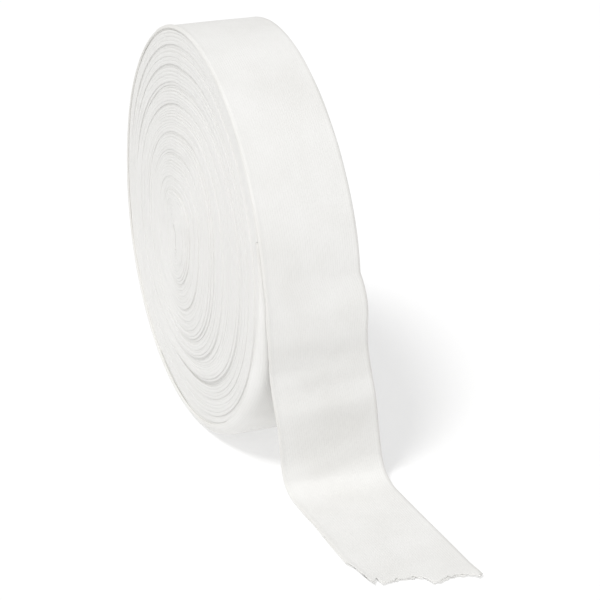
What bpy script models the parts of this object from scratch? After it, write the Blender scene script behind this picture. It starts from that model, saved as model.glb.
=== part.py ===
# Roll of tubular stockinette standing on its rim, with its loose end hanging down on the floor.
# Metres, +Z up. X points the way the loose end runs, Y lies along the winding axis, and the
# origin is the middle of the flat spot that the roll stands on.

import math
from collections import namedtuple

import bmesh
import bpy
from mathutils import Vector

# Sizes of the roll and of the flattened tube it is wound from
ROLL_RADIUS = 0.106
TUBE_WIDTH = 0.0475            # flat width in the roll, where winding tension narrows the knit
LAYER = 0.0016                 # two thicknesses of the knit, pressed together
PIECE_GAP = 0.0003             # between the roll and the loose end
FLAT_SPOT = 0.028              # length of the spot that the roll's weight flattens
KNIT_WHITE = (0.86, 0.855, 0.84)
SIDE_SAG = 1.008               # the roll is a little wider than high
FAR_SWELL = 0.0012             # the far side of the rim is wound a little larger at the top
RIM_CROWN = 0.0004             # the rim swells a little at the middle of its width
FOLD_ROUND = 0.0011            # rounding of the folded edges of the tube, along its width
FOLD_INSET = 0.0008            # and through its turns
GROOVE_WIDTH = 0.0009          # between two groups of turns
GROOVE_DEPTH = 0.0010

LEAVE_ANGLE = math.radians(6)  # where the outer turn leaves the roll, above the front
STEP_ANGLE = math.radians(0.3)  # length of the step that the outer turn's thickness leaves
START_ANGLE = math.radians(0.5)  # from there to the start of the loose end
SECTIONS_ROUND = 64

# Groups of turns, from the outer one inwards: the group's outer radius as a share of the roll's,
# how far its edges stand out past the outer turn on the near face (they stand back as far on the
# far face), how much that varies on the way round, the angle where it stands out most, and its
# length from front to back as a share of its height, because the innermost turns are a flat fold.
Group = namedtuple("Group", "radius_share stands_out wave wave_angle squeeze")
GROUPS = (
    Group(0.972, -0.0006, 0.0012, 275, 1.000),
    Group(0.905, -0.0002, 0.0015, 270, 0.995),
    Group(0.822, 0.0007, 0.0016, 282, 0.985),
    Group(0.738, 0.0030, 0.0010, 285, 0.965),
    Group(0.620, 0.0046, 0.0010, 262, 0.930),
    Group(0.500, 0.0056, 0.0008, 290, 0.890),
    Group(0.370, 0.0067, 0.0006, 250, 0.840),
    Group(0.225, 0.0076, 0.0004, 300, 0.740),
)
CENTRE = Group(0.060, 0.0080, 0.0000, 0, 0.450)
LOBE = 0.0021                  # how far the innermost turns are out of round

# Slack under the outer turn: a crescent between it and the next turns, widest behind the top
CRESCENT_WIDTH = 0.0026
CRESCENT_DEPTH = 0.0040
CRESCENT_ANGLE = 104
CRESCENT_SPREAD = 34
OUTER_TURN = 0.0018            # thickness of the turn that stands off
LIP_DROP = 0.0004              # its inner edge is set back a little

# The hanging stretch of the loose end, a row for each section: its height, how far forward its
# left and right edges are, how far its middle has slid sideways, its width, and how far its
# middle bows forward.
Hang = namedtuple("Hang", "height left_x right_x sideways width bow")
HANGS = (
    Hang(0.1060, 0.1074, 0.1090, 0.0002, 0.0480, 0.0000),
    Hang(0.0960, 0.1072, 0.1112, 0.0008, 0.0486, 0.0003),
    Hang(0.0860, 0.1064, 0.1108, 0.0021, 0.0490, 0.0006),
    Hang(0.0750, 0.1048, 0.1094, 0.0037, 0.0494, 0.0004),
    Hang(0.0640, 0.1026, 0.1090, 0.0055, 0.0498, 0.0010),
    Hang(0.0530, 0.1006, 0.1078, 0.0073, 0.0502, 0.0005),
    Hang(0.0420, 0.0990, 0.1056, 0.0091, 0.0506, 0.0011),
    Hang(0.0320, 0.0985, 0.1040, 0.0107, 0.0510, 0.0006),
    Hang(0.0220, 0.0992, 0.1036, 0.0121, 0.0513, 0.0002),
    Hang(0.0130, 0.1008, 0.1048, 0.0131, 0.0516, 0.0000),
    Hang(0.0062, 0.1040, 0.1086, 0.0138, 0.0518, 0.0000),
    Hang(0.0024, 0.1084, 0.1138, 0.0141, 0.0520, 0.0000),
    Hang(0.0008, 0.1144, 0.1204, 0.0143, 0.0521, 0.0000),
)
FLOOR_SIDEWAYS = 0.0146
FLOOR_WIDTH = 0.0522
FLOOR_RISE = 0.0014            # the left edge lifts off the floor midway

# The cut end, a row for each place across from the left edge: how far forward the cut reaches,
# and how high the knit has curled up there.
Cut = namedtuple("Cut", "across reach lift")
CUTS = (
    Cut(0.00, 0.1775, 0.0034),
    Cut(0.05, 0.1925, 0.0034),
    Cut(0.10, 0.1985, 0.0020),
    Cut(0.15, 0.1930, 0.0006),
    Cut(0.24, 0.1965, 0.0000),
    Cut(0.44, 0.1960, 0.0000),
    Cut(0.54, 0.2035, 0.0010),
    Cut(0.66, 0.2040, 0.0003),
    Cut(0.78, 0.2020, 0.0000),
    Cut(0.88, 0.2045, 0.0008),
    Cut(0.95, 0.2062, 0.0026),
    Cut(1.00, 0.2030, 0.0036),
)
CURL_START = 0.72              # share of the floor stretch where the end begins to curl
HANG_STEPS = 30
FLOOR_STEPS = 16
ACROSS = (0.0, 0.017, 0.055, 0.1, 0.16, 0.25, 0.36, 0.46, 0.54, 0.64, 0.76, 0.87, 0.94, 0.983, 1.0)


def smooth_step(value):
    value = min(max(value, 0.0), 1.0)
    return value * value * (3 - 2 * value)


def through(values, position):
    """Smooth curve through evenly spaced values, read at a position from 0 to their count less 1."""
    last = len(values) - 1
    index = min(int(position), last - 1)
    t = position - index
    before, after = values[max(index - 1, 0)], values[min(index + 2, last)]
    start, end = values[index], values[index + 1]
    return 0.5 * (
        2 * start
        + (end - before) * t
        + (2 * before - 5 * start + 4 * end - after) * t * t
        + (3 * start - before - 3 * end + after) * t * t * t
    )


def named_material(name, colour):
    material = bpy.data.materials.new(name)
    material.use_nodes = True
    shader = material.node_tree.nodes["Principled BSDF"]
    shader.inputs["Base Color"].default_value = (*colour, 1.0)
    shader.inputs["Roughness"].default_value = 0.95
    shader.inputs["Metallic"].default_value = 0.0
    return material


def finished_object(name, bm, material, collection):
    bmesh.ops.recalc_face_normals(bm, faces=bm.faces)
    mesh = bpy.data.meshes.new(name)
    bm.to_mesh(mesh)
    bm.free()
    mesh.shade_smooth()
    mesh.set_sharp_from_angle(angle=math.radians(40))
    mesh.materials.append(material)
    collection.objects.link(bpy.data.objects.new(name, mesh))


def outer_radius(turn_angle):
    """Radius of the outer turn, which shrinks by a layer on its way back round the roll."""
    return ROLL_RADIUS + LAYER / 2 - (LAYER + PIECE_GAP) * turn_angle / math.tau


def centre_height():
    """Height of the roll's middle, with the bottom pressed flat over the length of the flat spot."""
    radius = outer_radius(math.radians(270) - LEAVE_ANGLE)
    return math.sqrt(radius**2 - (FLAT_SPOT / 2) ** 2)


def on_roll(angle, radius, squeeze=1.0):
    """(x, z) of a point of the roll, which has sagged sideways."""
    return (
        radius * math.cos(angle) * SIDE_SAG * squeeze,
        centre_height() + radius * math.sin(angle),
    )


def edge_radius(group, angle):
    """Outer radius of a group of turns, a little out of round."""
    lobes = math.cos(3 * angle - math.radians(2 * group.wave_angle + 300 * group.radius_share))
    return group.radius_share * ROLL_RADIUS + LOBE * (1 - group.radius_share) * lobes


def face_points(angle, radius):
    """(radius, how far it stands out, squeeze) on the near face, from the rim inwards."""
    slack = math.exp(-(((math.degrees(angle) - CRESCENT_ANGLE) / CRESCENT_SPREAD) ** 2))
    lip = radius - OUTER_TURN
    points = [
        (radius, -FOLD_ROUND, 1.0),
        (radius - FOLD_INSET, 0.0, 1.0),
        (lip, -LIP_DROP, 1.0),
        (lip - GROOVE_WIDTH / 4 - CRESCENT_WIDTH * slack / 2, -GROOVE_DEPTH - CRESCENT_DEPTH * slack, 1.0),
    ]
    for group, inner in zip(GROUPS, GROUPS[1:] + (CENTRE,)):
        out = group.stands_out + group.wave * math.cos(angle - math.radians(group.wave_angle))
        outer_edge = edge_radius(group, angle) - GROOVE_WIDTH / 2
        if group is GROUPS[0]:
            outer_edge -= CRESCENT_WIDTH * slack
            out -= CRESCENT_DEPTH * slack / 2
        groove = edge_radius(inner, angle)
        points.append((outer_edge, out - GROOVE_DEPTH / 3, group.squeeze))
        points.append((groove + GROOVE_WIDTH, out + LIP_DROP / 2, inner.squeeze))
        if inner is not CENTRE:
            points.append((groove, min(out, inner.stands_out) - GROOVE_DEPTH, inner.squeeze))
    return points


def roll_section(angle, radius):
    """The roll's section, from the near face's inner turns over the rim to the far face's."""
    side = face_points(angle, radius)
    swell = FAR_SWELL * max(math.sin(angle), 0.0)
    rows = [(r, -TUBE_WIDTH / 2 - out, squeeze) for r, out, squeeze in reversed(side)]
    rows.append((radius + RIM_CROWN + swell / 2, 0.0, 1.0))
    rows.append((radius + swell, TUBE_WIDTH / 2 - FOLD_ROUND, 1.0))
    rows.append((radius + swell - FOLD_INSET, TUBE_WIDTH / 2, 1.0))
    rows += [(r, TUBE_WIDTH / 2 - out, squeeze) for r, out, squeeze in side[2:]]
    section = []
    for r, y, squeeze in rows:
        x, z = on_roll(angle, r, squeeze)
        section.append((x, y, max(z, 0.0)))
    return section


def wound_roll(material, collection):
    bm = bmesh.new()
    around = math.tau - STEP_ANGLE
    sections = []
    for index in range(SECTIONS_ROUND):
        turn = around * index / (SECTIONS_ROUND - 1)
        points = roll_section(LEAVE_ANGLE + turn, outer_radius(turn))
        sections.append([bm.verts.new(point) for point in points])
    for section, following in zip(sections, sections[1:] + sections[:1]):
        for i in range(len(section) - 1):
            bm.faces.new((section[i], following[i], following[i + 1], section[i + 1]))
    for end, face_y in ((0, -TUBE_WIDTH / 2), (-1, TUBE_WIDTH / 2)):
        tip = bm.verts.new((0.0, face_y - CENTRE.stands_out, centre_height()))
        ring = [section[end] for section in sections]
        for vert, following in zip(ring, ring[1:] + ring[:1]):
            bm.faces.new((vert, following, tip))
    finished_object("wound_roll", bm, material, collection)


def hanging_point(share, across):
    """A point of the hanging stretch's middle surface, by shares of its length and width."""
    x, z = on_roll(LEAVE_ANGLE - START_ANGLE, outer_radius(0) - LAYER / 2)
    rows = (Hang(z, x, x, 0.0, TUBE_WIDTH, RIM_CROWN),) + HANGS
    row = Hang(*(through(column, share * (len(rows) - 1)) for column in zip(*rows)))
    forward = row.left_x + (row.right_x - row.left_x) * across + row.bow * 4 * across * (1 - across)
    return Vector((forward, row.sideways + (across - 0.5) * row.width, row.height))


def floor_point(share, across):
    """A point of the stretch on the floor, from the end of the hanging stretch to the cut."""
    start = hanging_point(1.0, across)
    following = next(i for i, cut in enumerate(CUTS) if cut.across >= across and i)
    near, far = CUTS[following - 1], CUTS[following]
    blend = (across - near.across) / (far.across - near.across)
    reach = near.reach + (far.reach - near.reach) * blend
    lift = near.lift + (far.lift - near.lift) * blend
    side = FLOOR_SIDEWAYS + (across - 0.5) * FLOOR_WIDTH
    rise = FLOOR_RISE * math.sin(math.pi * share) ** 2 * (1 - across) ** 3
    curl = lift * smooth_step((share - CURL_START) / (1 - CURL_START))
    return Vector((
        start.x + (reach - start.x) * share,
        start.y + (side - start.y) * smooth_step(share),
        start.z + rise + curl,
    ))


def loose_end(material, collection):
    hanging = [[hanging_point(i / HANG_STEPS, v) for v in ACROSS] for i in range(HANG_STEPS)]
    lying = [[floor_point(i / FLOOR_STEPS, v) for v in ACROSS] for i in range(FLOOR_STEPS + 1)]
    rows = hanging + lying
    last_row, last_column = len(rows) - 1, len(ACROSS) - 1
    bm = bmesh.new()
    loops = []
    for i, row in enumerate(rows):
        outer, inner = [], []
        for k, point in enumerate(row):
            along = rows[min(i + 1, last_row)][k] - rows[max(i - 1, 0)][k]
            across = row[min(k + 1, last_column)] - row[max(k - 1, 0)]
            normal = across.cross(along).normalized()
            if k in (0, last_column):
                outer.append(bm.verts.new(point))
                continue
            outer.append(bm.verts.new(point + normal * LAYER / 2))
            under = point - normal * LAYER / 2
            inner.append(bm.verts.new((under.x, under.y, max(under.z, 0.0))))
        loops.append(outer + inner[::-1])
    for loop, following in zip(loops, loops[1:]):
        for i in range(len(loop)):
            j = (i + 1) % len(loop)
            bm.faces.new((loop[i], loop[j], following[j], following[i]))
    bm.faces.new(loops[0])
    bm.faces.new(loops[-1])
    bmesh.ops.triangulate(bm, faces=[face for face in bm.faces if len(face.verts) > 4])
    finished_object("loose_end", bm, material, collection)


def main():
    for old in list(bpy.data.objects):
        bpy.data.objects.remove(old, do_unlink=True)
    collection = bpy.data.collections.new("tubular_stockinette_roll")
    bpy.context.scene.collection.children.link(collection)
    wound_roll(named_material("wound knit", KNIT_WHITE), collection)
    loose_end(named_material("loose knit", KNIT_WHITE), collection)


main()
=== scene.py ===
# Roll of tubular stockinette: a flat knitted tube wound in a disc, its loose end on the floor
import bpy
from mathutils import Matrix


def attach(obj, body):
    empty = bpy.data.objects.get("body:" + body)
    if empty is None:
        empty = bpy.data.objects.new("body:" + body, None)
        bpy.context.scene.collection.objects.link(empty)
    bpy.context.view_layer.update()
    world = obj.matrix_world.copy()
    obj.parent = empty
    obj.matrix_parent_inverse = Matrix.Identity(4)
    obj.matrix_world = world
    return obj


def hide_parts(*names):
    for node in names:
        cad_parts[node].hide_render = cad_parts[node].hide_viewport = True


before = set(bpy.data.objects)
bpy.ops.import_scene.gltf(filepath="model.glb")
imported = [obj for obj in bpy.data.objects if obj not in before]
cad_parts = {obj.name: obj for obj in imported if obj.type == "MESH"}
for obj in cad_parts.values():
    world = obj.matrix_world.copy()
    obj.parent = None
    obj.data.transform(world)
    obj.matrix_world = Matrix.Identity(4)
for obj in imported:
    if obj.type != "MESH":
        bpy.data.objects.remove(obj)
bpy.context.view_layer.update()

import math
from collections import namedtuple

import bpy
import numpy as np
from mathutils import Vector

fullTurn = math.tau
outerWrap = fullTurn * 1.03        # the outer turn is made with the loose end

# The part's own sizes, in metres, as the solids have them
roll = {
    "radius": 0.106,          # to the middle of the outer turn
    "tubeWidth": 0.0475,
    "layer": 0.0016,          # two thicknesses of knit
    "outerPitch": 0.0019,     # the outer turn lies looser on the next one
    "flatSpot": 0.028,
    "sideSag": 1.008,
    "farSwell": 0.0012,
    "rimCrown": 0.0004,
    "leaveAngle": math.radians(6),
    "startAngle": math.radians(0.5),
    "foldRound": 0.0011,
}

# Groups of turns from the outside in: where each starts as a share of the radius, how far it
# stands out on the near face, and how that varies on the way round
Group = namedtuple("Group", "share standsOut wave waveAngle")
groups = (
    Group(0.972, 0.0006, 0.0008, 340),
    Group(0.905, 0.0012, 0.0011, 345),
    Group(0.822, 0.0018, 0.0012, 330),
    Group(0.738, 0.0030, 0.0010, 285),
    Group(0.620, 0.0046, 0.0010, 262),
    Group(0.500, 0.0056, 0.0008, 290),
    Group(0.370, 0.0067, 0.0006, 250),
    Group(0.225, 0.0076, 0.0004, 300),
    Group(0.060, 0.0080, 0.0000, 0),
)
winding = {
    "pitch": 0.00157,          # from one turn to the next
    "drawnShare": 1.28,        # of the pitch that a turn fills before it is pressed on the next
    "settles": 0.5,            # radians past the outer turn over which the turns go out of round
    "coreHalf": 0.0062,        # half the length of the flat fold at the core
    "coreFades": (0.45, 1.0),  # shares of the radius over which its effect fades
    "coreRound": 0.25,
    "coreGap": 0.3,            # least distance from the fold's line, as a share of the pitch
    "pointStep": 0.0019,       # between points along the tube
    "fewestPoints": 44,        # round a turn
    "finePoints": 720,         # round a turn, to measure its length
    "groupStep": 0.050,        # share of the radius that the step between groups takes
    "oval": 0.0042,            # how much wider than high the middle turns lie
    "ovalShare": 0.76,
    "ovalSpread": 0.17,
    "outOfRound": 0.0012,
    "lobesTurn": 300,          # degrees that the three lobes turn from the core to the rim
    "rimFade": 8,              # how fast the middle turns' shape goes towards the rim
    "ridge": 0.0012,           # the turns stand out along the line over the core
    "ridgeWidth": 0.016,
    "ridgeFade": 3,            # how fast the ridge goes towards the sides
    "flatDepth": 0.025,        # how deep into the roll the flat spot is felt
    "mostPressed": 0.965,      # of their pitch that the turns over the flat spot keep
}

# The slack crescent under the outer turn: how far the turn stands off at its near edge and how
# much rounder its fold is there, where round the roll, and how deep the turns below go with it
crescent = {
    "lift": 0.0010,
    "fold": 0.00042,
    "depth": 0.0004,
    "angle": 104,
    "spread": 24,
    "felt": 0.0060,
}

# The outer turn's near edge has rolled over the shoulder, most on the side of the loose end
# and least where the turn lies slack
shoulder = {
    "radius": 0.0060,
    "angle": math.radians(88),
    "bulge": 0.0013,           # how far it stands out past the tube's width
    "mostAt": -10,             # degrees round from the way the loose end runs
    "leastShare": 0.12,
    "tightAbove": 0.88,        # how much tighter it is on the upper half
    "tightFrom": 25,           # degrees above the way the loose end runs
    "tightTo": 190,
    "tightFade": 20,
    "slackLeaves": 0.25,       # share of it left where the turn lies slack
    "rollsOver": 0.75,         # radians of winding over which it rolls over, and lies flat again
}

# The turns weren't wound quite straight: how far the near and the far edge of the outer ones
# stand out, at each bearing
Drift = namedtuple("Drift", "bearing near far")
drifts = (
    Drift(-180, -0.0011, 0.0000),
    Drift(-150, -0.0003, 0.0000),
    Drift(-120, 0.0000, 0.0000),
    Drift(-60, 0.0000, 0.0000),
    Drift(-20, 0.0000, 0.0006),
    Drift(0, 0.0004, 0.0010),
    Drift(15, 0.0009, 0.0003),
    Drift(30, 0.0012, -0.0008),
    Drift(45, 0.0010, -0.0016),
    Drift(60, 0.0007, -0.0018),
    Drift(75, 0.0004, -0.0013),
    Drift(90, 0.0001, -0.0003),
    Drift(105, 0.0000, 0.0000),
    Drift(120, -0.0005, 0.0000),
    Drift(135, -0.0009, 0.0000),
    Drift(150, -0.0010, 0.0000),
    Drift(165, -0.0012, 0.0000),
    Drift(180, -0.0011, 0.0000),
)
driftFelt = 0.009              # how deep in the roll the turns drift with the outer one

# Grooves between bands of turns: share of the radius, depth over the top, depth at the bottom
# and half width as a share of the radius
Groove = namedtuple("Groove", "share top bottom width")
grooves = (
    Groove(0.945, 0.0000, 0.0005, 0.007),
    Groove(0.912, 0.0011, 0.0002, 0.009),
    Groove(0.872, 0.0003, 0.0003, 0.008),
    Groove(0.843, 0.0008, 0.0002, 0.009),
    Groove(0.800, 0.0002, 0.0006, 0.008),
    Groove(0.754, 0.0007, 0.0014, 0.018),
    Groove(0.666, 0.0005, 0.0003, 0.008),
    Groove(0.614, 0.0005, 0.0007, 0.009),
    Groove(0.565, 0.0002, 0.0003, 0.008),
    Groove(0.520, 0.0004, 0.0007, 0.010),
    Groove(0.470, 0.0002, 0.0004, 0.008),
    Groove(0.420, 0.0004, 0.0002, 0.008),
    Groove(0.360, 0.0003, 0.0006, 0.009),
    Groove(0.300, 0.0003, 0.0002, 0.008),
    Groove(0.240, 0.0003, 0.0003, 0.008),
    Groove(0.170, 0.0002, 0.0002, 0.008),
    Groove(0.100, 0.0002, 0.0002, 0.008),
)


def smoothStep(value):
    value = np.clip(value, 0.0, 1.0)
    return value * value * (3 - 2 * value)


def through(values, position):
    # Smooth curve through evenly spaced values
    last = len(values) - 1
    index = min(int(position), last - 1)
    t = position - index
    before, after = values[max(index - 1, 0)], values[min(index + 2, last)]
    start, end = values[index], values[index + 1]
    return 0.5 * (2 * start + (end - before) * t + (2 * before - 5 * start + 4 * end - after) * t * t
                  + (3 * start - before - 3 * end + after) * t * t * t)


# Shape of the roll
def midRadius(turn):
    outer = roll["outerPitch"] * np.minimum(turn, fullTurn) / fullTurn
    inner = winding["pitch"] * np.maximum(turn - fullTurn, 0.0) / fullTurn
    return roll["radius"] - outer - inner


bottomTurn = math.radians(270) - roll["leaveAngle"]      # where the outer turn meets the floor


def rollCentre():
    radius = midRadius(bottomTurn) + roll["layer"] / 2
    return math.sqrt(radius**2 - (roll["flatSpot"] / 2) ** 2)


def slackAt(theta):
    away = (np.degrees(theta) % 360 - crescent["angle"]) / crescent["spread"]
    return np.exp(-away**2)


def bearingOf(theta):
    # Degrees round from the way the loose end runs, from -180 to 180
    return np.mod(np.degrees(theta) + 180, 360) - 180


def driftAt(theta, edge):
    bearings = [drift.bearing for drift in drifts]
    return np.interp(bearingOf(theta), bearings, [getattr(drift, edge) for drift in drifts])


def driftFollows(turn):
    # How much of the drift is left at this depth in the roll
    return np.exp(-(roll["radius"] - midRadius(turn)) / driftFelt)


def rolledAt(turn):
    # Share of the shoulder's rounding at this place of the outer turn
    begins = smoothStep(turn / shoulder["rollsOver"])
    ends = smoothStep((outerWrap - turn) / shoulder["rollsOver"])
    theta = roll["leaveAngle"] + turn
    facing = np.sqrt(0.5 + 0.5 * np.cos(theta - math.radians(shoulder["mostAt"])))
    bearing = bearingOf(theta)
    upper = smoothStep(bearing / shoulder["tightFrom"])
    upper = upper * smoothStep((shoulder["tightTo"] - bearing) / shoulder["tightFade"])
    side = shoulder["leastShare"] + (1 - shoulder["leastShare"]) * facing * (1 - shoulder["tightAbove"] * upper)
    return begins * ends * side * (1 - (1 - shoulder["slackLeaves"]) * slackAt(theta))


def turnPoint(turn, lift=0.0):
    # (x, z) of the middle of the tube at this angle back along the winding
    theta = roll["leaveAngle"] + turn
    under = smoothStep((turn - fullTurn) / winding["settles"])
    radius = midRadius(turn) + lift
    share = radius / roll["radius"]
    lobe = np.cos(3 * theta - np.radians(winding["lobesTurn"]) * share)
    radius = radius + under * winding["outOfRound"] * (1 - share) * share * 4 * lobe
    oval = np.exp(-(((share - winding["ovalShare"]) / winding["ovalSpread"]) ** 2))
    oval = oval * np.clip((1 - share) * winding["rimFade"], 0, 1)
    radius = radius + under * winding["oval"] * oval * np.cos(2 * theta)
    low, high = winding["coreFades"]
    flat = winding["coreHalf"] * (1 - smoothStep((share - low) / (high - low)))
    across = np.maximum(radius - flat, winding["pitch"] * winding["coreGap"])
    sine, rounding = np.sin(theta), winding["coreRound"]
    end = sine * math.sqrt(1 + rounding**2) / np.sqrt(sine**2 + rounding**2)
    x = across * np.cos(theta) * roll["sideSag"]
    z = rollCentre() + across * sine + flat * end
    # Over the flat spot the turns are pressed closer together
    depth = midRadius(bottomTurn) - midRadius(turn)
    pressed = 1 - (rollCentre() - (midRadius(bottomTurn) - roll["layer"] / 2)) / winding["flatDepth"]
    pressed = min(pressed, winding["mostPressed"])
    floor = roll["layer"] / 2 + np.clip(depth, 0, winding["flatDepth"]) * pressed
    return x, np.where(depth < winding["flatDepth"], np.maximum(z, floor), z)


def standOff(turn):
    # How far the turn's near edge stands off the roll where it lies slack
    depth = roll["radius"] - midRadius(turn)
    return crescent["lift"] * slackAt(roll["leaveAngle"] + turn) * np.exp(-depth / crescent["felt"])


def groupLevel(group, theta):
    return group.standsOut + group.wave * np.cos(theta - math.radians(group.waveAngle))


def standOut(turn):
    # How far the turn's edge stands out on the near face
    theta = roll["leaveAngle"] + turn
    share = midRadius(turn) / roll["radius"]
    out = groupLevel(groups[0], theta)
    for group, inner in zip(groups, groups[1:]):
        step = smoothStep((inner.share - share) / winding["groupStep"] + 0.5)
        out = out + (groupLevel(inner, theta) - groupLevel(group, theta)) * step
    for groove in grooves:
        depth = (groove.top + groove.bottom) / 2 + (groove.top - groove.bottom) / 2 * np.sin(theta)
        out = out - depth * np.exp(-(((share - groove.share) / groove.width) ** 2))
    first = smoothStep((share - groups[1].share) / winding["groupStep"] + 0.5)
    out = out - crescent["depth"] / 2 * slackAt(theta) * first
    x = midRadius(turn) * np.cos(theta)
    ridge = winding["ridge"] * np.exp(-np.abs(x) / winding["ridgeWidth"])
    ridge = ridge * smoothStep(np.sin(theta) * winding["ridgeFade"])
    return out + ridge * smoothStep((1 - share) * winding["rimFade"])


def underShoulder(turn):
    # How far out an inner turn's edge may stand under the rounded shoulder
    rolled = rolledAt(np.mod(turn, fullTurn))
    inside = np.maximum(shoulder["radius"] * rolled - roll["layer"] / 2, 0.0)
    centre = roll["radius"] - shoulder["radius"] * rolled
    beyond = np.clip(midRadius(turn) + roll["layer"] / 2 - centre, 0.0, inside)
    limit = (shoulder["bulge"] - shoulder["radius"]) * rolled + np.sqrt(inside**2 - beyond**2)
    return np.where(midRadius(turn) + roll["layer"] / 2 > centre, limit, 1.0)


def windingPoints(fromTurn, toTurn):
    # Turn angles that are evenly spaced along the tube
    fine = np.linspace(fromTurn, toTurn, int((toTurn - fromTurn) / fullTurn * winding["finePoints"]))
    x, z = turnPoint(fine)
    lengths = np.hypot(np.diff(x), np.diff(z))
    step = np.minimum(winding["pointStep"], midRadius(fine[1:]) * fullTurn / winding["fewestPoints"])
    counted = np.concatenate([[0.0], np.cumsum(lengths / step)])
    return np.interp(np.linspace(0, counted[-1], int(counted[-1])), counted, fine)


# One socket of a node tree. Arithmetic on it adds Math nodes to the tree.
class Wire:
    def __init__(self, tree, socket=None):
        self.tree = tree
        self.socket = socket

    def node(self, kind, settings=None, inputs=None, out=0):
        made = self.tree.nodes.new(kind)
        for name, value in (settings or {}).items():
            setattr(made, name, value)
        for name, value in (inputs or {}).items():
            if isinstance(value, Wire):
                self.tree.links.new(value.socket, made.inputs[name])
            else:
                made.inputs[name].default_value = value
        return Wire(self.tree, made.outputs[out])

    def maths(self, operation, *others):
        return self.node("ShaderNodeMath", {"operation": operation}, dict(enumerate((self,) + others)))

    def __add__(self, other):
        return self.maths("ADD", other)

    def __radd__(self, other):
        return self.maths("ADD", other)

    def __sub__(self, other):
        return self.maths("SUBTRACT", other)

    def __rsub__(self, other):
        return self.node("ShaderNodeMath", {"operation": "SUBTRACT"}, {0: other, 1: self})

    def __mul__(self, other):
        return self.maths("MULTIPLY", other)

    def __truediv__(self, other):
        return self.maths("DIVIDE", other)

    def __pow__(self, other):
        return self.maths("POWER", other)


# Cotton knit: columns of stitches (wales) along the tube and rows (courses) across it
knit = {
    "colour": (0.87, 0.865, 0.848, 1.0),
    # A darker grey: painted shade between the stitches and along the loose tube's folds, also the dark end of the
    # random mottle
    "shadeAndMottleColour": (0.74, 0.73, 0.70, 1.0),
    "wale": 0.00118,
    "course": 0.00092,
    "lean": 0.62,             # how far a stitch's legs lean, in courses
    "driftScale": 90.0,
    "waleDrift": 0.5,         # how far columns stray, in wales
    "courseDrift": 0.8,
    "strandScale": 420.0,     # unevenness from stitch to stitch
    "waleUneven": 0.35,
    "courseUneven": 0.9,
    "legHeight": 0.45,        # shares of the height: a stitch's legs, the column and its rows
    "columnHeight": 0.3,
    "rowHeight": 0.25,
    "bump": 0.00012,
    "bumpStrength": 0.8,
    "fuzzScale": 2600.0,
    "fuzzTone": 0.10,
    "fuzzHeight": 0.6,
    "cloudScale": 45.0,       # soft patches of thinner and thicker yarn
    "roughness": 0.93,
    "fuzzRough": 0.06,
    "specular": 0.25,
    "sheen": 0.12,
    "sheenRoughness": 0.5,
    "openLoops": 0.45,        # how much the loose tube's folds are darkened: painted shade that tones down their highlight
}


def cottonKnit(name, paintedStitchShade, mottle, paintedShade):
    material = bpy.data.materials.new(name)
    material.use_nodes = True
    tree = material.node_tree
    shader = tree.nodes["Principled BSDF"]
    start = Wire(tree)
    place = start.node("ShaderNodeUVMap", {"uv_map": "knit"})
    inObject = start.node("ShaderNodeTexCoord", out="Object")

    def noise(scale, detail):
        return start.node("ShaderNodeTexNoise", {"noise_dimensions": "3D"},
                          {"Vector": inObject, "Scale": scale, "Detail": detail}, out="Fac")

    drift, strand = noise(knit["driftScale"], 2.0), noise(knit["strandScale"], 1.0)
    fuzz, cloud = noise(knit["fuzzScale"], 3.0), noise(knit["cloudScale"], 4.0)
    across = start.node("ShaderNodeSeparateXYZ", inputs={"Vector": place}, out="X")
    along = start.node("ShaderNodeSeparateXYZ", inputs={"Vector": place}, out="Y")
    waleAt = across / knit["wale"] + (drift - 0.5) * knit["waleDrift"] + (strand - 0.5) * knit["waleUneven"]
    inWale = waleAt.maths("FRACT") - 0.5
    fromMiddle = inWale.maths("ABSOLUTE")
    rowAt = along / knit["course"] + fromMiddle * (knit["lean"] * 2)
    rowAt = rowAt + (drift - 0.5) * knit["courseDrift"] + (strand - 0.5) * knit["courseUneven"]
    wave = (rowAt * fullTurn).maths("SINE")
    leg = 1 - (fromMiddle * 4 - 1) ** 2      # highest along the middle of each leg
    height = leg * knit["legHeight"] + (1 - fromMiddle * 2) * knit["columnHeight"]
    height = height + leg * (wave * 0.5 + 0.5) * knit["rowHeight"]
    # Painted shade along the loose tube's folds, darkest at each fold
    opened = start.node("ShaderNodeAttribute", {"attribute_name": "openLoops"}, out="Fac") * knit["openLoops"]
    # The low parts of the stitch relief are painted darker: painted shade between the stitches. Cloud and fuzz
    # vary the tone at random.
    tone = (height * paintedStitchShade + (1 - paintedStitchShade)) - (cloud - 0.5) * mottle
    tone = tone - (fuzz - 0.5) * knit["fuzzTone"] - opened
    # Both colours are darkened by the piece's painted shade
    yarn, shadeAndMottle = (tuple(part * paintedShade for part in knit[key][:3]) + (1.0,) for key in ("colour", "shadeAndMottleColour"))
    mixed = start.node("ShaderNodeMix", {"data_type": "RGBA", "clamp_factor": True},
                       {"Factor": tone, "A": shadeAndMottle, "B": yarn}, out="Result")
    tree.links.new(mixed.socket, shader.inputs["Base Color"])
    rough = knit["roughness"] + (fuzz - 0.5) * knit["fuzzRough"]
    tree.links.new(rough.socket, shader.inputs["Roughness"])
    relief = start.node("ShaderNodeBump", inputs={
        "Strength": knit["bumpStrength"], "Distance": knit["bump"],
        "Height": height + fuzz * knit["fuzzHeight"]}, out="Normal")
    tree.links.new(relief.socket, shader.inputs["Normal"])
    shader.inputs["Specular IOR Level"].default_value = knit["specular"]
    shader.inputs["Sheen Weight"].default_value = knit["sheen"]
    shader.inputs["Sheen Roughness"].default_value = knit["sheenRoughness"]
    return material


# The same knit is painted a little darker on each piece, most on the wound turns of the faces: painted shade
woundKnit = cottonKnit("woundKnit", paintedStitchShade=0.4, mottle=0.3, paintedShade=0.95)
looseKnit = cottonKnit("looseKnit", paintedStitchShade=0.42, mottle=0.9, paintedShade=0.99)


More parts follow.
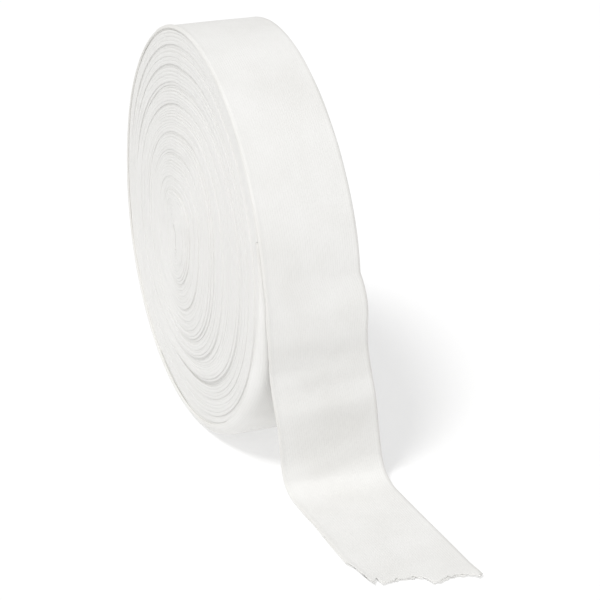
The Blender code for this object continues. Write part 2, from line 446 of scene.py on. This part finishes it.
# Geometry nodes: sweep a flattened tube along the winding
turnsTree = {
    "profilePoints": 12,
    "foldDepth": 0.00018,      # rounding of the folded edges, along the winding axis
    "edgeWander": 0.00020,     # how far turns' edges wander over a long stretch
    "edgeCrimp": 0.00007,      # and in short crimps
    "farSetBack": 0.0004,      # the outer turn hides the others' far edges
    "thinning": 0.20,          # how much thinner a turn is pressed here and there
    "seed": 7.3,
    "sideShift": 31.7,         # sets the near edges' wander apart from the far ones'
    # How fast each changes round the roll and from turn to turn, and what sets it apart
    "wanderFast": (0.9, 1.7, 0.0),
    "wanderSlow": (1.3, 0.4, 21.9),
    "slowShare": 1.6,
    "thins": (1.6, 2.3, 53.1),
    "crimps": (150.0, 3.1, 11.3),
}


def treeInput(tree, name, kind, value):
    socket = tree.interface.new_socket(name, in_out="INPUT", socket_type=kind)
    if value is not None:
        socket.default_value = value
    return socket.identifier


def woundTubeTree():
    tree = bpy.data.node_groups.new("Wound tube", "GeometryNodeTree")
    tree.interface.new_socket("Geometry", in_out="INPUT", socket_type="NodeSocketGeometry")
    tree.interface.new_socket("Geometry", in_out="OUTPUT", socket_type="NodeSocketGeometry")
    names = {
        "Wander": treeInput(tree, "Wander", "NodeSocketFloat", turnsTree["edgeWander"]),
        "Crimp": treeInput(tree, "Crimp", "NodeSocketFloat", turnsTree["edgeCrimp"]),
        "Fold Depth": treeInput(tree, "Fold Depth", "NodeSocketFloat", turnsTree["foldDepth"]),
        "Thinning": treeInput(tree, "Thinning", "NodeSocketFloat", turnsTree["thinning"]),
        "Seed": treeInput(tree, "Seed", "NodeSocketFloat", turnsTree["seed"]),
        "Material": treeInput(tree, "Material", "NodeSocketMaterial", None),
    }
    entry = tree.nodes.new("NodeGroupInput")
    given = {socket.name: Wire(tree, socket) for socket in entry.outputs if socket.name}
    start = Wire(tree)

    def attribute(name, kind="FLOAT"):
        return start.node("GeometryNodeInputNamedAttribute", {"data_type": kind}, {"Name": name})

    def vector(x, y, z):
        return start.node("ShaderNodeCombineXYZ", inputs={"X": x, "Y": y, "Z": z})

    def stored(geometry, name, value, kind="FLOAT", domain="POINT"):
        return start.node("GeometryNodeStoreNamedAttribute", {"data_type": kind, "domain": domain},
                          {"Geometry": geometry, "Name": name, "Value": value})

    # The section's points keep the angle where they lie round the flattened tube
    count = turnsTree["profilePoints"]
    section = start.node("GeometryNodeCurvePrimitiveCircle", {"mode": "RADIUS"},
                         {"Resolution": count, "Radius": roll["layer"] / 4}, out="Curve")
    index = start.node("GeometryNodeInputIndex")
    section = stored(section, "foldAngle", (index + 0.5) * (fullTurn / count))
    path = start.node("GeometryNodeMeshToCurve", inputs={"Mesh": given["Geometry"]})
    path = stored(path, "pathPlace", start.node("GeometryNodeInputPosition"), "FLOAT_VECTOR")
    swept = start.node("GeometryNodeCurveToMesh", {}, {"Curve": path, "Profile Curve": section, "Fill Caps": True})

    foldAngle, turn = attribute("foldAngle"), attribute("turn")
    along, bearing = attribute("along"), attribute("bearing")
    side = foldAngle.maths("SINE")
    reach = foldAngle.maths("COSINE")
    isNear = reach.maths("LESS_THAN", 0.0)
    standsOff = attribute("standOff") * isNear

    def unevenness(scaleRound, scaleTurns, shift):
        where = vector(bearing.maths("COSINE") * scaleRound,
                       bearing.maths("SINE") * scaleRound,
                       turn * scaleTurns + given["Seed"] + shift + isNear * turnsTree["sideShift"])
        return start.node("ShaderNodeTexNoise", {"noise_dimensions": "3D"},
                          {"Vector": where, "Scale": 1.0, "Detail": 1.0}, out="Fac") - 0.5

    wander = unevenness(*turnsTree["wanderFast"])
    wander = wander + unevenness(*turnsTree["wanderSlow"]) * turnsTree["slowShare"]
    wander = wander * given["Wander"] * 2
    alongScale, turnScale, nearShift = turnsTree["crimps"]
    crimpAt = vector(along * alongScale, turn * turnScale, given["Seed"] + isNear * nearShift)
    crimp = start.node("ShaderNodeTexNoise", {"noise_dimensions": "3D"},
                       {"Vector": crimpAt, "Scale": 1.0, "Detail": 1.5}, out="Fac") - 0.5
    thin = 1 - (unevenness(*turnsTree["thins"]) + 0.5) * given["Thinning"]
    half = attribute("halfThick") * thin
    edge = wander + crimp * given["Crimp"] * 2
    nearY = attribute("nearY") + edge + given["Fold Depth"] * (1 + reach)
    farY = attribute("farY") + edge - given["Fold Depth"] * (1 - reach)
    y = nearY * isNear + farY * (1 - isNear)
    outward = start.node("ShaderNodeVectorMath", {"operation": "SCALE"},
                         {0: attribute("outward", "FLOAT_VECTOR"), "Scale": side * half + standsOff})
    base = start.node("ShaderNodeVectorMath", {"operation": "ADD"},
                      {0: attribute("pathPlace", "FLOAT_VECTOR"), 1: outward})
    final = start.node("ShaderNodeVectorMath", {"operation": "ADD"}, {0: base, 1: vector(0.0, y, 0.0)})
    placed = start.node("GeometryNodeSetPosition", {}, {"Geometry": swept, "Position": final})
    roundFold = (foldAngle - math.pi) * half * isNear + foldAngle * half * (1 - isNear)
    uv = vector(roundFold, along, 0.0)
    mapped = stored(placed, "knit", uv, "FLOAT2", "CORNER")
    smooth = start.node("GeometryNodeSetShadeSmooth", {}, {"Geometry": mapped, "Shade Smooth": True})
    painted = start.node("GeometryNodeSetMaterial", {}, {"Geometry": smooth, "Material": given["Material"]})
    real = start.node("GeometryNodeRealizeInstances", {}, {"Geometry": painted})
    leave = tree.nodes.new("NodeGroupOutput")
    tree.links.new(real.socket, leave.inputs["Geometry"])
    return tree, names


def guideMesh(name, turns, startAlong):
    # The tube's middle line, with what the nodes need at each point
    x, z = turnPoint(turns)
    dx, dz = np.gradient(x), np.gradient(z)
    length = np.hypot(dx, dz)
    out = standOut(turns)
    theta = roll["leaveAngle"] + turns
    follows, halfWidth = driftFollows(turns), roll["tubeWidth"] / 2
    mesh = bpy.data.meshes.new(name)
    points = np.column_stack([x, np.zeros_like(x), z])
    mesh.from_pydata(points.tolist(), [(i, i + 1) for i in range(len(x) - 1)], [])
    nextX, nextZ = turnPoint(turns + fullTurn)
    half = np.hypot(x - nextX, z - nextZ) / 2 * winding["drawnShare"]
    alongLine = startAlong + np.concatenate([[0.0], np.cumsum(np.hypot(np.diff(x), np.diff(z)))])
    values = {
        "nearY": -halfWidth - np.minimum(out, underShoulder(turns)) - driftAt(theta, "near") * follows,
        "farY": halfWidth - np.maximum(out, turnsTree["farSetBack"]) + driftAt(theta, "far") * follows,
        "halfThick": half,
        "standOff": standOff(turns),
        "turn": turns / fullTurn,
        "bearing": theta,
        "along": alongLine,
    }
    for key, value in values.items():
        mesh.attributes.new(key, "FLOAT", "POINT").data.foreach_set("value", np.asarray(value, np.float32))
    outward = np.column_stack([dz / length, np.zeros_like(x), -dx / length])
    mesh.attributes.new("outward", "FLOAT_VECTOR", "POINT").data.foreach_set(
        "vector", np.asarray(outward, np.float32).ravel())
    return mesh, alongLine[-1]


def plainMesh(obj):
    # What the modifiers make, as a mesh of its own
    graph = bpy.context.evaluated_depsgraph_get()
    made = bpy.data.meshes.new_from_object(obj.evaluated_get(graph), depsgraph=graph)
    obj.modifiers.clear()
    obj.data = made
    return obj


def woundPiece(name, tree, names, fromTurn, toTurn, startAlong):
    guide, endAlong = guideMesh(name + "Guide", windingPoints(fromTurn, toTurn), startAlong)
    piece = bpy.data.objects.new(name, guide)
    bpy.context.scene.collection.objects.link(piece)
    modifier = piece.modifiers.new("Wound tube", "NODES")
    modifier.node_group = tree
    modifier[names["Material"]] = woundKnit
    plainMesh(piece)
    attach(piece, "root")
    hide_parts("wound_roll")
    return piece, endAlong


tree, names = woundTubeTree()
marks = [outerWrap, fullTurn * 22, fullTurn * 42, fullTurn * 62.8]
length = 0.0
for name, fromTurn, toTurn in zip(("outerTurns", "middleTurns", "coreTurns"), marks, marks[1:]):
    piece, length = woundPiece(name, tree, names, fromTurn, toTurn, length)
    print("wound", name, len(piece.data.polygons), "faces", round(length, 2), "m of tube so far")

# The loose end: one stretch of flattened tube, from the outer turn down to its cut end
Hang = namedtuple("Hang", "height leftX rightX sideways width bow")
hangs = (
    Hang(0.1060, 0.1074, 0.1090, 0.0013, 0.0498, 0.0000),
    Hang(0.0960, 0.1071, 0.1110, 0.0018, 0.0502, 0.0003),
    Hang(0.0860, 0.1061, 0.1100, 0.0024, 0.0494, 0.0007),
    Hang(0.0750, 0.1040, 0.1082, 0.0038, 0.0494, 0.0004),
    Hang(0.0640, 0.1016, 0.1080, 0.0055, 0.0498, 0.0010),
    Hang(0.0530, 0.1008, 0.1080, 0.0073, 0.0502, 0.0008),
    Hang(0.0420, 0.1012, 0.1070, 0.0091, 0.0506, 0.0008),
    Hang(0.0320, 0.1006, 0.1050, 0.0107, 0.0510, 0.0004),
    Hang(0.0220, 0.0994, 0.1040, 0.0121, 0.0513, 0.0000),
    Hang(0.0130, 0.0988, 0.1040, 0.0132, 0.0515, 0.0000),
    Hang(0.0066, 0.1004, 0.1062, 0.0139, 0.0516, 0.0000),
    Hang(0.0032, 0.1044, 0.1104, 0.0142, 0.0516, 0.0000),
    Hang(0.0014, 0.1096, 0.1156, 0.0144, 0.0515, 0.0000),
    Hang(0.0009, 0.1158, 0.1220, 0.0145, 0.0515, 0.0000),
)

# The cut, from the left edge: how far forward the upper thickness reaches, how high both have
# curled, how far the upper one has opened off the lower, and how far the lower falls short
Cut = namedtuple("Cut", "across reach lift opened short")
cuts = (
    Cut(0.000, 0.1740, 0.0001, 0.0000, 0.0000),
    Cut(0.022, 0.1775, 0.0002, 0.0001, 0.0000),
    Cut(0.044, 0.1835, 0.0004, 0.0002, 0.0000),
    Cut(0.060, 0.1930, 0.0006, 0.0003, 0.0004),
    Cut(0.080, 0.1952, 0.0005, 0.0004, 0.0006),
    Cut(0.105, 0.1940, 0.0003, 0.0003, 0.0002),
    Cut(0.128, 0.1912, 0.0002, 0.0003, -0.0002),
    Cut(0.145, 0.1962, 0.0002, 0.0003, 0.0004),
    Cut(0.170, 0.1972, 0.0001, 0.0002, 0.0003),
    Cut(0.268, 0.1962, 0.0000, 0.0000, 0.0002),
    Cut(0.370, 0.1966, 0.0000, 0.0000, -0.0002),
    Cut(0.457, 0.1975, 0.0000, 0.0000, 0.0002),
    Cut(0.525, 0.2000, 0.0001, 0.0001, 0.0004),
    Cut(0.560, 0.2050, 0.0001, 0.0002, 0.0008),
    Cut(0.635, 0.2054, 0.0001, 0.0001, 0.0006),
    Cut(0.705, 0.2038, 0.0001, 0.0000, 0.0002),
    Cut(0.780, 0.2034, 0.0001, 0.0000, 0.0003),
    Cut(0.850, 0.2044, 0.0001, 0.0000, 0.0004),
    Cut(0.912, 0.2056, 0.0003, 0.0003, 0.0006),
    Cut(0.965, 0.2090, 0.0007, 0.0005, 0.0008),
    Cut(1.000, 0.2078, 0.0009, 0.0000, 0.0000),
)

# Soft troughs and ridges across the loose end: how far down it from the roll, how much further
# at the right edge, its half width, its height, and where it is strongest across
Crease = namedtuple("Crease", "down slant half height middle spread")
creases = (
    Crease(0.010, 0.004, 0.0060, -0.0004, 0.70, 0.50),
    Crease(0.022, -0.006, 0.0050, 0.0005, 0.85, 0.30),
    Crease(0.034, 0.003, 0.0060, -0.0005, 0.45, 0.50),
    Crease(0.047, -0.004, 0.0045, 0.0004, 0.25, 0.35),
    Crease(0.058, -0.006, 0.0060, 0.0006, 0.60, 0.60),
    Crease(0.069, -0.005, 0.0040, -0.0004, 0.50, 0.50),
    Crease(0.079, -0.007, 0.0060, 0.0004, 0.65, 0.50),
    Crease(0.101, -0.015, 0.0060, -0.0008, 0.30, 0.50),
    Crease(0.150, 0.002, 0.0016, 0.0002, 0.35, 0.30),
    Crease(0.159, 0.001, 0.0014, -0.0002, 0.45, 0.35),
    Crease(0.168, 0.003, 0.0016, 0.0002, 0.60, 0.40),
    Crease(0.176, 0.001, 0.0014, -0.0002, 0.30, 0.30),
    Crease(0.184, 0.022, 0.0016, -0.0008, 0.08, 0.09),
)
loose = {
    "floorSideways": 0.0146,
    "floorWidth": 0.0522,
    "floorLength": 0.082,
    "floorRise": 0.0001,
    "bendLength": 0.012,       # of the bend, beyond the height that it hangs down from
    "drawnIn": 0.0016,         # how far the left edge is drawn in past the bend
    "drawnAt": 0.30,           # share of the floor stretch
    "drawnSpread": 0.16,
    "liesFrom": 0.25,          # share of the floor stretch where it has come to lie flat
    "curlStart": 0.84,
    "opensFrom": 0.84,         # share of the floor stretch where the two thicknesses part
    "openingCurve": 1.5,
    "wall": 0.00066,           # one thickness of knit
    "layerOff": 0.00042,       # from the middle to each thickness
    "foldBulge": 0.00018,
    "bulgeAt": 0.0009,         # in from the fold
    "bulgeSpread": 0.0008,
    "foldShadeReach": 0.0011,       # how far in from a fold the painted shade reaches
    "cutOff": 0.00035,         # layerOff at the cut, where the two thicknesses cling together
    "puff": 0.00022,           # air between the thicknesses where nothing presses them
    "puffRound": 0.7,
    "puffFrom": 0.03,          # how far down from the roll the air has come in
    "puffLost": 0.6,           # share of it that goes where it lies flat
    "alongStep": 0.0030,
    "tailStep": 0.0014,
    "cutRows": 7,              # closer rows along the cut
    "cutRowStep": 0.004,       # as a share of the floor stretch
    "joinGap": 0.0002,         # between the outer turn and the turns that go on from it
    "acrossPoints": 41,
    "eased": 0.45,             # how much closer the points lie towards the folds
    "apart": 0.3,              # least share of the spacing between two points
    "foldPoints": 5,
    "ragged": 0.00045,
    "raggedEnds": 0.08,        # share of the width over which it fades to the folds
    "waves": ((91, 1.0, 1.0), (173, 2.1, 0.8), (47, -1.0, 0.5)),    # how close, phase and share
    "upperPhase": 0.4,
    "lowerPhase": 2.9,
}


def wrapPoint(turn, across):
    theta = roll["leaveAngle"] + turn
    rolled = float(rolledAt(turn))
    radius = max(shoulder["radius"] * rolled, 1e-6)
    straight = roll["tubeWidth"] + shoulder["bulge"] * rolled - radius
    fromFar = (1 - across) * (straight + radius * shoulder["angle"])
    angle = max(fromFar - straight, 0.0) / radius
    lift = roll["rimCrown"] * 4 * across * (1 - across) + roll["farSwell"] * max(math.sin(theta), 0.0) * across
    lift += float(standOff(turn)) * (1 - across) ** 2
    x, z = turnPoint(turn, lift - radius * (1 - math.cos(angle)))
    drift = float(driftAt(theta, "far")) * across - float(driftAt(theta, "near")) * (1 - across)
    drift *= float(driftFollows(turn))
    # Where it goes in under the loose end it stands out as the turns below do
    goesUnder = float(smoothStep((turn - outerWrap) / shoulder["rollsOver"] + 1))
    drift -= goesUnder * float(standOut(turn))
    y = roll["tubeWidth"] / 2 - min(fromFar, straight) - radius * math.sin(angle) + drift
    return Vector((float(x), y, float(z)))


def hangingPoint(share, across):
    first = wrapPoint(-roll["startAngle"], 0.0)
    last = wrapPoint(-roll["startAngle"], 1.0)
    atRoll = Hang(first.z, first.x, first.x, (first.y + last.y) / 2, last.y - first.y, roll["rimCrown"])
    rows = (atRoll,) + hangs
    row = Hang(*(through(column, share * (len(rows) - 1)) for column in zip(*rows)))
    forward = row.leftX + (row.rightX - row.leftX) * across + row.bow * 4 * across * (1 - across)
    return Vector((forward, row.sideways + (across - 0.5) * row.width, row.height))


def cutAt(across):
    places = [cut.across for cut in cuts]
    return Cut(across, *(float(np.interp(across, places, column)) for column in list(zip(*cuts))[1:]))


def floorPoint(share, across, reach):
    start = hangingPoint(1.0, across)
    side = loose["floorSideways"] + (across - 0.5) * loose["floorWidth"]
    drawn = math.exp(-((share - loose["drawnAt"]) / loose["drawnSpread"]) ** 2)
    side += loose["drawnIn"] * drawn * (1 - across) ** 2
    rise = loose["floorRise"] * math.sin(math.pi * share) ** 2 * (1 - across) ** 3
    curl = cutAt(across).lift * float(smoothStep((share - loose["curlStart"]) / (1 - loose["curlStart"])))
    return Vector((start.x + (reach - start.x) * share,
                   start.y + (side - start.y) * float(smoothStep(share)),
                   start.z + rise + curl))


def raggedness(across, phase):
    # The cut runs through the stitches, so its edge wavers from wale to wale
    waver = sum(part * math.sin(across * close + turned * phase) for close, turned, part in loose["waves"])
    return loose["ragged"] * waver * min(across, 1 - across, loose["raggedEnds"]) / loose["raggedEnds"]


def creaseLift(down, across):
    lift = 0.0
    for crease in creases:
        away = (down - crease.down - crease.slant * (across - 0.5)) / crease.half
        strength = math.exp(-((across - crease.middle) / crease.spread) ** 2)
        lift += crease.height * strength * math.exp(-away * away)
    return lift


def tubeRows():
    # Rows from the end under the loose tube to the cut: the stretch that each is in, and where
    wrapRows = int(outerWrap * roll["radius"] / loose["alongStep"])
    hangRows = int((hangingPoint(0.0, 0.5).z + loose["bendLength"]) / loose["tailStep"])
    floorRows = int(loose["floorLength"] / loose["tailStep"])
    begins = outerWrap - loose["joinGap"] / roll["radius"]
    shares = {i / floorRows for i in range(floorRows)} | {1.0}
    shares |= {1 - loose["cutRowStep"] * i for i in range(1, loose["cutRows"] + 1)}
    return ([("wrap", begins * (1 - i / wrapRows)) for i in range(wrapRows)]
            + [("hang", i / hangRows) for i in range(hangRows)]
            + [("floor", share) for share in sorted(shares)])


def acrossPlaces():
    count, eased = loose["acrossPoints"], loose["eased"]
    even = [i / (count - 1) for i in range(count)]
    places = [(1 - eased) * t + eased * (0.5 - 0.5 * math.cos(math.pi * t)) for t in even]
    angles = [math.pi / 2 * i / loose["foldPoints"] for i in range(1, loose["foldPoints"] + 1)]
    folds = [loose["layerOff"] * (1 - math.cos(angle)) / roll["tubeWidth"] for angle in angles]
    kept = [cut.across for cut in cuts] + folds + [1 - fold for fold in folds]
    apart = loose["apart"] / count
    return sorted(kept + [t for t in places if min(abs(t - place) for place in kept) > apart])


def partedAt(kind, place):
    # Share by which the two thicknesses have parted towards the cut
    if kind != "floor":
        return 0.0
    return float(smoothStep((place - loose["opensFrom"]) / (1 - loose["opensFrom"])))


def middlePoint(kind, place, across, side):
    # On the tube's middle or, where it lies on the floor, between the thickness and that middle
    if kind == "wrap":
        return wrapPoint(place, across)
    if kind == "hang":
        return hangingPoint(place, across)
    cut = cutAt(across)
    if side < 0:
        return floorPoint(place, across, cut.reach - cut.short + raggedness(across, loose["lowerPhase"]))
    point = floorPoint(place, across, cut.reach + raggedness(across, loose["upperPhase"]))
    point.z += cut.opened * partedAt(kind, place) ** loose["openingCurve"]
    return point


def normalAt(grid, i, k):
    down = grid[min(i + 1, len(grid) - 1)][k] - grid[max(i - 1, 0)][k]
    side = grid[i][min(k + 1, len(grid[i]) - 1)] - grid[i][max(k - 1, 0)]
    return side.cross(down).normalized()


def offMiddle(kind, place, across, width, puffed):
    # How far a thickness stands off the tube's middle
    parted = partedAt(kind, place)
    off = loose["layerOff"] + (loose["cutOff"] - loose["layerOff"]) * parted
    edge = min(across, 1 - across) * width
    if edge < off:      # the fold closes round
        return math.sqrt(max(off**2 - (off - edge) ** 2, 0.0))
    bulge = loose["foldBulge"]
    if kind == "wrap" and across < 0.5:
        bulge += crescent["fold"] * float(slackAt(roll["leaveAngle"] + place))
    bulge *= math.exp(-((edge - loose["bulgeAt"]) / loose["bulgeSpread"]) ** 2)
    air = loose["puff"] * puffed * (4 * across * (1 - across)) ** loose["puffRound"]
    return off + bulge + air * (1 - parted)


def creasedAt(kind, place, across, side, down, puffed):
    # Where it lies flat, only the upper thickness has the troughs and ridges
    if kind == "wrap":
        return 0.0
    if kind == "floor" and place > loose["liesFrom"]:
        return creaseLift(down, across) if side > 0 else 0.0
    return creaseLift(down, across) * puffed


# A point of the tube's wall: its place, its place on the flat tube, and how much painted shade it gets near a fold
WallPoint = namedtuple("WallPoint", "place flat opened")


def tubeSections(rows, places):
    # Each section goes over the upper thickness to the right fold and back under the lower one
    topGrid = [[middlePoint(kind, place, across, 1) for across in places] for kind, place in rows]
    lowGrid = [[middlePoint(kind, place, across, -1) for across in places] if kind == "floor" else top
               for (kind, place), top in zip(rows, topGrid)]
    middle = len(places) // 2
    along = [0.0]
    for row, following in zip(topGrid, topGrid[1:]):
        along.append(along[-1] + (following[middle] - row[middle]).length)
    kinds = [kind for kind, place in rows]
    tailFrom, floorFrom = along[kinds.index("hang")], kinds.index("floor")
    order = [(1, topGrid, k) for k in range(len(places))]
    order += [(-1, lowGrid, k) for k in range(len(places) - 2, 0, -1)]

    sections, rounds = [], []
    for i, (kind, place) in enumerate(rows):
        puffed = 0.0 if kind == "wrap" else float(smoothStep((along[i] - tailFrom) / loose["puffFrom"]))
        if kind == "floor":
            puffed *= 1 - loose["puffLost"] * float(smoothStep(place / loose["liesFrom"]))
        steps = [after - before for before, after in zip(topGrid[i], topGrid[i][1:])]
        width = sum(math.hypot(step.y, step.z) if kind == "floor" else step.length for step in steps)
        section = []
        for side, grid, k in order:
            across = places[k]
            reach = offMiddle(kind, place, across, width, puffed)
            lift = creasedAt(kind, place, across, side, along[i] - tailFrom, puffed)
            point = grid[i][k] + normalAt(grid, i, k) * (side * reach + lift)
            point.z = max(point.z, loose["wall"] / 2)
            down = along[i]
            if kind == "floor":
                down = along[floorFrom] + grid[i][k].x - topGrid[floorFrom][k].x
            # Painted shade near the folds: strongest at the fold itself
            opened = math.exp(-((min(across, 1 - across) * width / loose["foldShadeReach"]) ** 2))
            section.append(WallPoint(point, ((across if side > 0 else 2 - across) * width, down), opened))
        sections.append(section)
        rounds.append(2 * width)
    return sections, rounds, along, tailFrom


def looseTube():
    sections, rounds, along, tailFrom = tubeSections(tubeRows(), acrossPlaces())
    size = len(sections[0])
    faces, corners = [], []
    for i in range(len(sections) - 1):
        for k in range(size):
            after = (k + 1) % size
            faces.append((i * size + k, i * size + after, (i + 1) * size + after, (i + 1) * size + k))
            # The last face round ends at the tube's full width, not back at 0
            ends = [sections[row][after].flat if after else (rounds[row], sections[row][0].flat[1])
                    for row in (i, i + 1)]
            corners += [sections[i][k].flat, ends[0], ends[1], sections[i + 1][k].flat]
    mesh = bpy.data.meshes.new("looseTube")
    mesh.from_pydata([tuple(point.place) for section in sections for point in section], [], faces)
    layer = mesh.uv_layers.new(name="knit")
    layer.data.foreach_set("uv", [value for corner in corners for value in corner])
    # How much painted shade each point gets near the folds
    mesh.attributes.new("openLoops", "FLOAT", "POINT").data.foreach_set(
        "value", [point.opened for section in sections for point in section])
    mesh.shade_smooth()
    mesh.materials.append(looseKnit)
    piece = bpy.data.objects.new("looseTube", mesh)
    bpy.context.scene.collection.objects.link(piece)
    shell = piece.modifiers.new("Knit thickness", "SOLIDIFY")
    shell.thickness = loose["wall"]
    shell.offset = 0.0
    plainMesh(piece)
    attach(piece, "root")
    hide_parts("loose_end", "wound_roll")
    print("loose tube", len(piece.data.polygons), "faces,", round(along[-1], 3), "m long,",
          round(along[-1] - tailFrom, 3), "m of it loose")


looseTube()


# Floor, light and camera
studio = {
    "floorSize": 8.0,
    "floorDrop": 0.0002,       # keeps the floor just under the cloth
    "floorColour": (0.56, 0.56, 0.56, 1.0),
    "floorGlow": 0.45,         # a sweep lit from below, as in a studio
    "sky": 0.6,
}
Lamp = namedtuple("Lamp", "name comesFrom wide strength")     # wide in degrees
lamps = (
    Lamp("overhead", (0.30, -0.46, 0.84), 13.0, 1.56),
    Lamp("front", (0.90, -0.30, 0.30), 50.0, 0.14),
)


def floorAndLight():
    mesh = bpy.data.meshes.new("floor")
    half = studio["floorSize"] / 2
    mesh.from_pydata([(-half, -half, 0), (half, -half, 0), (half, half, 0), (-half, half, 0)], [], [(0, 1, 2, 3)])
    floor = bpy.data.objects.new("floor", mesh)
    floor.location.z = -studio["floorDrop"]
    bpy.context.scene.collection.objects.link(floor)
    material = bpy.data.materials.new("paleFloor")
    material.use_nodes = True
    shader = material.node_tree.nodes["Principled BSDF"]
    shader.inputs["Base Color"].default_value = studio["floorColour"]
    shader.inputs["Roughness"].default_value = 0.9
    shader.inputs["Specular IOR Level"].default_value = 0.1
    shader.inputs["Emission Color"].default_value = (1.0, 1.0, 1.0, 1.0)
    shader.inputs["Emission Strength"].default_value = studio["floorGlow"]
    mesh.materials.append(material)

    for name, comesFrom, wide, strength in lamps:
        light = bpy.data.lights.new(name, "SUN")
        light.angle, light.energy = math.radians(wide), strength
        lamp = bpy.data.objects.new(name, light)
        lamp.location = comesFrom
        lamp.rotation_euler = Vector(comesFrom).to_track_quat("Z", "Y").to_euler()
        bpy.context.scene.collection.objects.link(lamp)
    world = bpy.data.worlds.new("studio")
    world.use_nodes = True
    world.node_tree.nodes["Background"].inputs["Color"].default_value = (1.0, 1.0, 1.0, 1.0)
    world.node_tree.nodes["Background"].inputs["Strength"].default_value = studio["sky"]
    bpy.context.scene.world = world


view = {
    "place": (0.8283, -0.3089, 0.4232),
    "aim": (0.1792, -0.0367, 0.1371),
    "lens": 107.9,
    "sensor": 36.0,
    "clips": (0.01, 20.0),
}


def placeCamera():
    camera = bpy.data.cameras.new("camera")
    camera.lens, camera.sensor_width = view["lens"], view["sensor"]
    camera.clip_start, camera.clip_end = view["clips"]
    eye = bpy.data.objects.new("camera", camera)
    eye.location = view["place"]
    eye.rotation_euler = (Vector(view["aim"]) - Vector(view["place"])).to_track_quat("-Z", "Y").to_euler()
    bpy.context.scene.collection.objects.link(eye)
    bpy.context.scene.camera = eye


floorAndLight()
placeCamera()
bpy.context.scene.view_settings.view_transform = "Standard"
print("floor, lights and camera are set")

bpy.context.view_layer.update()
